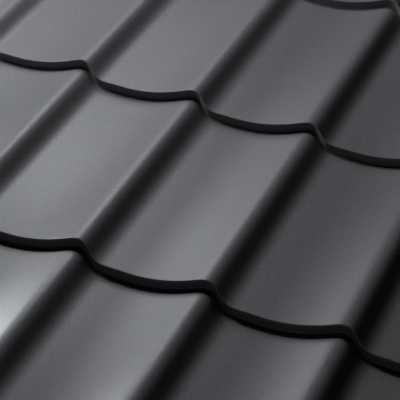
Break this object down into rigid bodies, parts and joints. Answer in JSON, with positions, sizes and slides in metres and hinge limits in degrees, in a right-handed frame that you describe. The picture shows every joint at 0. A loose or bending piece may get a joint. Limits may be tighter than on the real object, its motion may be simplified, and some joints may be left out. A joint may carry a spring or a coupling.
{
  "type": "tile effect metal roofing sheet",
  "caption": "Coated steel roofing sheet rolled into leaning waves and pressed into tile courses with scalloped steps, with an underlap groove on one side and an end lap at the back.",
  "frame": {"origin": "middle of the sheet's outline, on the level that its pans and its front edge rest on", "axes": "+X across the waves, from the underlapping edge to the overlapping edge, +Y up the roof, from the front edge to the end lap, +Z out of the roof, on the coated side"},
  "size_m": [1.1811, 1.196, 0.0304],
  "materials": {
    "coated_steel": "satin graphite grey polyester coat on galvanised steel"
  },
  "bodies": {
    "root": {"roofing_sheet": "coated_steel"}
  },
  "joints": []
}
